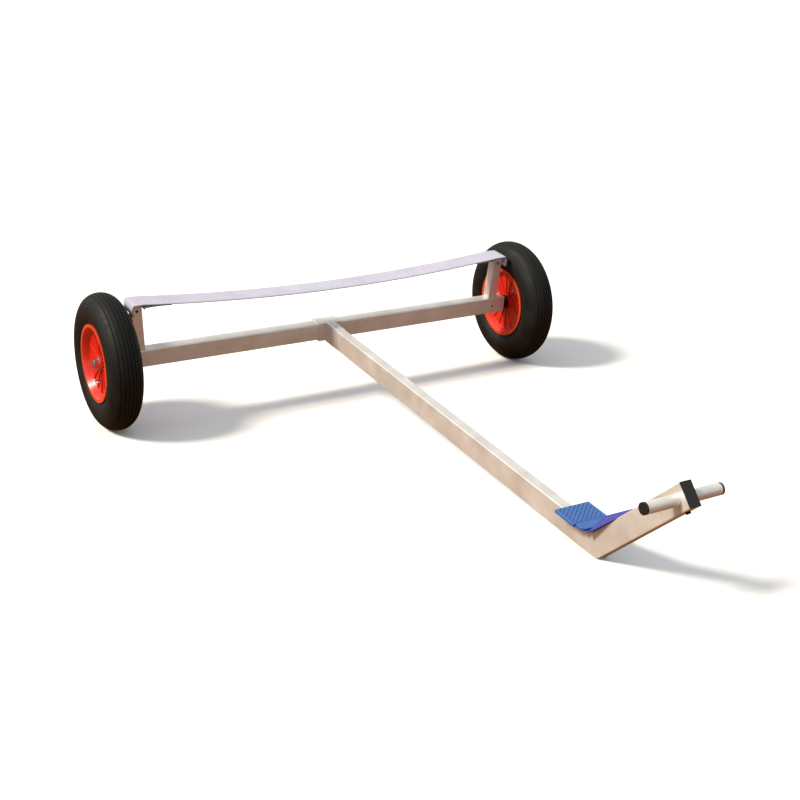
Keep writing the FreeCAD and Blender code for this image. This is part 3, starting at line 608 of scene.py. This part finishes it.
def new_tree(name, inputs):
    """A geometry tree with a Geometry input and the named inputs given as (name, kind)."""
    tree = bpy.data.node_groups.new(name, "GeometryNodeTree")
    tree.interface.new_socket("Geometry", in_out="INPUT", socket_type="NodeSocketGeometry")
    for label, kind in inputs:
        tree.interface.new_socket(label, in_out="INPUT", socket_type=f"NodeSocket{kind}")
    tree.interface.new_socket("Geometry", in_out="OUTPUT", socket_type="NodeSocketGeometry")
    return tree, node(tree, "NodeGroupInput")


def close_tree(tree, geometry, source):
    """End a tree in Realize Instances, smooth shading and Set Material."""
    real = node(tree, "GeometryNodeRealizeInstances", {"Geometry": geometry})
    smooth = node(tree, "GeometryNodeSetShadeSmooth", {"Geometry": real.outputs["Geometry"]})
    painted = node(tree, "GeometryNodeSetMaterial", {
        "Geometry": smooth.outputs["Geometry"], "Material": source.outputs["Material"]})
    node(tree, "NodeGroupOutput", {"Geometry": painted.outputs["Geometry"]})


def bead_tree():
    """Weld ripples: flattened beads set close together along a line of edges."""
    tree, source = new_tree("weld_ripples", [
        ("Spacing", "Float"), ("Radius", "Float"), ("Seed", "Int"), ("Material", "Material")])
    line = node(tree, "GeometryNodeMeshToCurve", {"Mesh": source.outputs["Geometry"]})
    steps = node(tree, "GeometryNodeResampleCurve", {
        "Curve": line.outputs["Curve"], "Length": source.outputs["Spacing"]}, mode="LENGTH")
    ball = node(tree, "GeometryNodeMeshIcoSphere", {
        "Radius": source.outputs["Radius"], "Subdivisions": 2})
    size = node(tree, "FunctionNodeRandomValue", {
        "Min": (0.8, 0.8, 0.8), "Max": (1.15, 1.15, 1.15), "Seed": source.outputs["Seed"]},
        data_type="FLOAT_VECTOR")
    beads = node(tree, "GeometryNodeInstanceOnPoints", {
        "Points": steps.outputs["Curve"], "Instance": ball.outputs["Mesh"],
        "Scale": size.outputs["Value"]})
    close_tree(tree, beads.outputs["Instances"], source)
    return tree


def stud_tree():
    """Domed heads on points; Stretch flattens each along the direction it faces."""
    tree, source = new_tree("domed_heads", [
        ("Radius", "Float"), ("Stretch", "Vector"), ("Material", "Material")])
    dome = node(tree, "GeometryNodeMeshUVSphere", {
        "Radius": source.outputs["Radius"], "Segments": 20, "Rings": 12})
    heads = node(tree, "GeometryNodeInstanceOnPoints", {
        "Points": source.outputs["Geometry"], "Instance": dome.outputs["Mesh"],
        "Scale": source.outputs["Stretch"]})
    close_tree(tree, heads.outputs["Instances"], source)
    return tree


def stitch_tree():
    """Short stitches laid end to end along a line of edges."""
    tree, source = new_tree("stitches", [
        ("Pitch", "Float"), ("Thread", "Float"), ("Material", "Material")])
    line = node(tree, "GeometryNodeMeshToCurve", {"Mesh": source.outputs["Geometry"]})
    steps = node(tree, "GeometryNodeResampleCurve", {
        "Curve": line.outputs["Curve"], "Length": source.outputs["Pitch"]}, mode="LENGTH")
    along = node(tree, "GeometryNodeInputTangent")
    turn = node(tree, "FunctionNodeAlignRotationToVector", {
        "Vector": along.outputs["Tangent"]}, axis="X")
    thread = node(tree, "GeometryNodeMeshUVSphere", {
        "Radius": source.outputs["Thread"], "Segments": 8, "Rings": 6})
    stitches = node(tree, "GeometryNodeInstanceOnPoints", {
        "Points": steps.outputs["Curve"], "Instance": thread.outputs["Mesh"],
        "Rotation": turn.outputs["Rotation"], "Scale": (2.6, 1.0, 0.7)})
    close_tree(tree, stitches.outputs["Instances"], source)
    return tree


def grow(name, tree, vertices, edges, inputs, slot, body="frame"):
    """Run a tree on points or edges, and keep the result as a plain mesh riding on a body."""
    mesh = bpy.data.meshes.new(name)
    mesh.from_pydata([tuple(v) for v in vertices], edges, [])
    piece = bpy.data.objects.new(name, mesh)
    bpy.context.scene.collection.objects.link(piece)
    grower = piece.modifiers.new("grow", "NODES")
    grower.node_group = tree
    for item in tree.interface.items_tree:
        if item.in_out == "INPUT" and item.name in inputs:
            grower[item.identifier] = inputs[item.name]
    bake(piece)
    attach(piece, body)
    return piece


def loops(*rings):
    """Closed rings of points as one list of vertices and edges."""
    vertices, edges = [], []
    for ring in rings:
        first = len(vertices)
        vertices += ring
        edges += [(first + i, first + (i + 1) % len(ring)) for i in range(len(ring))]
    return vertices, edges


def make_welds():
    """Beads round each post's foot and round the mitre."""
    ripples = bead_tree()
    inputs = {"Spacing": 1.6 * MM, "Radius": 1.5 * MM, "Seed": 4, "Material": WELD}
    half = POST_SIZE / 2
    feet = []
    for _, side in SIDES:
        inner, outer = side * POST_INSET, side * (POST_INSET + POST_SIZE)
        top = BEAM_HEIGHT / 2 + 0.2
        feet.append([at_frame(inner, -half, top), at_frame(outer, -half, top),
                     at_frame(outer, half, top), at_frame(inner, half, top)])
    grow("post_foot_welds", ripples, *loops(*feet), inputs, "aluminium")
    slope = math.tan(BEND / 2)
    low, high, width = 1.5, BAR_HEIGHT - 1.5, BAR_WIDTH / 2 - 0.4
    mitre = [at_frame(x, -CORNER_REACH + z * slope, z - BAR_HEIGHT / 2)
             for x, z in ((-width, low), (width, low), (width, high), (-width, high))]
    fine = dict(inputs, Spacing=1.2 * MM, Radius=0.9 * MM)
    grow("mitre_weld", ripples, *loops(mitre), fine, "aluminium")


def make_fasteners():
    """Rivets in the beam under each post, and the screws that hold the sling's ends."""
    heads = stud_tree()
    front = -BEAM_DEPTH / 2 - 0.2
    rivets = [at_frame(side * (POST_INSET + POST_SIZE / 2), front, 0) for _, side in SIDES]
    inputs = {"Radius": 3.2 * MM, "Stretch": (1, 0.35, 1), "Material": DARK_STEEL}
    grow("beam_rivets", heads, rivets, [], inputs, "bolt_steel")
    height = SEAT - 12
    face = POST_INSET + (POST_HEIGHT - 12) * math.tan(POST_LEAN) - 0.4
    screws = [at_frame(side * face, 3, height) for _, side in SIDES]
    inputs = {"Radius": 3.6 * MM, "Stretch": (0.5, 1, 1), "Material": DARK_STEEL}
    grow("sling_screws", heads, screws, [], inputs, "bolt_steel")


def make_stitching():
    """Two rows of thread across the web where each return is sewn to it."""
    stitches = stitch_tree()
    vertices, edges = [], []
    lift = SLING_THICKNESS + 0.5
    for _, side in SIDES:
        for away in (62, 67, 78, 83):
            across = POST_TOP_IN - away
            drop = SLING_SAG * (1 - (across / POST_TOP_IN) ** 2)
            first = len(vertices)
            vertices += [at_frame(side * across, y, SEAT + lift - drop) for y in (-33, 33)]
            edges.append((first, first + 1))
    inputs = {"Pitch": 4.2 * MM, "Thread": 0.5 * MM, "Material": THREAD}
    grow("sling_stitching", stitches, vertices, edges, inputs, "webbing")


# ---- stage, lights and camera ----------------------------------------------------------------

def make_floor():
    """A plain pale floor. It is pale to the eye and painted brown for every other ray: a painted reflection that
    makes the metal's reflections and bounce light warmer, as sunlit ground under the trolley would."""
    made, tree, shader = new_material("pale_floor", Roughness=0.9,
                                      **{"Specular IOR Level": 0.1})
    path = node(tree, "ShaderNodeLightPath")
    # Painted reflection: brown to reflections and bounce light, pale only to the camera.
    seen = two_tone(tree, path.outputs["Is Camera Ray"], "#80552c", "#fbfaf8")
    tree.links.new(seen, shader.inputs["Base Color"])
    half = 60.0
    mesh = bpy.data.meshes.new("floor")
    mesh.from_pydata([(-half, -half, 0), (half, -half, 0), (half, half, 0), (-half, half, 0)],
                     [], [(0, 1, 2, 3)])
    mesh.materials.append(made)
    floor = bpy.data.objects.new("floor", mesh)
    bpy.context.scene.collection.objects.link(floor)


def make_lights():
    """A soft sun from the upper left and behind, under a pale sky."""
    sun = bpy.data.lights.new("sun", "SUN")
    sun.energy = 4.2
    sun.angle = math.radians(14)
    sun.color = srgb("#fff4e2")[:3]
    lamp = bpy.data.objects.new("sun", sun)
    from_light = Vector((1.0, -0.22, -1.0))
    lamp.rotation_euler = from_light.to_track_quat("-Z", "Y").to_euler()
    bpy.context.scene.collection.objects.link(lamp)
    world = bpy.data.worlds.new("pale_sky")
    world.use_nodes = True
    tree = world.node_tree
    tree.nodes.clear()
    sky = node(tree, "ShaderNodeBackground", {"Color": srgb("#eef1f6"), "Strength": 0.7})
    node(tree, "ShaderNodeOutputWorld", {"Surface": sky.outputs["Background"]})
    bpy.context.scene.world = world
    bpy.context.scene.view_settings.view_transform = "Standard"


CAMERA_FROM_AXLE = Vector((-1.784, -3.473, 1.140))
CAMERA_YAW, CAMERA_PITCH, CAMERA_ROLL = -30.60, 19.44, 0.51
CAMERA_LENS = 58.27


def make_camera():
    """A standing person's view from the front left."""
    made = bpy.data.cameras.new("camera")
    made.lens = CAMERA_LENS
    made.sensor_width = 36
    camera = bpy.data.objects.new("camera", made)
    turn = (Matrix.Rotation(math.radians(CAMERA_YAW), 4, "Z")
            @ Matrix.Rotation(math.radians(90 - CAMERA_PITCH), 4, "X")
            @ Matrix.Rotation(math.radians(CAMERA_ROLL), 4, "Z"))
    camera.matrix_world = Matrix.Translation(AXLE + CAMERA_FROM_AXLE) @ turn
    bpy.context.scene.collection.objects.link(camera)
    bpy.context.scene.camera = camera


finish_nodes()
for word, side in SIDES:
    make_tyre(word, side)
make_sling()
make_bow_pad()
node_copy("bow_foot", "smooth_bow_foot", BLUE, bevel=1.2)
# The leg takes the violet blue of painted shade.
node_copy("bow_leg", "smooth_bow_leg", BLUE_LEG_PAINTED_SHADE, bevel=0.8)
make_welds()
make_fasteners()
make_stitching()
make_floor()
make_lights()
make_camera()
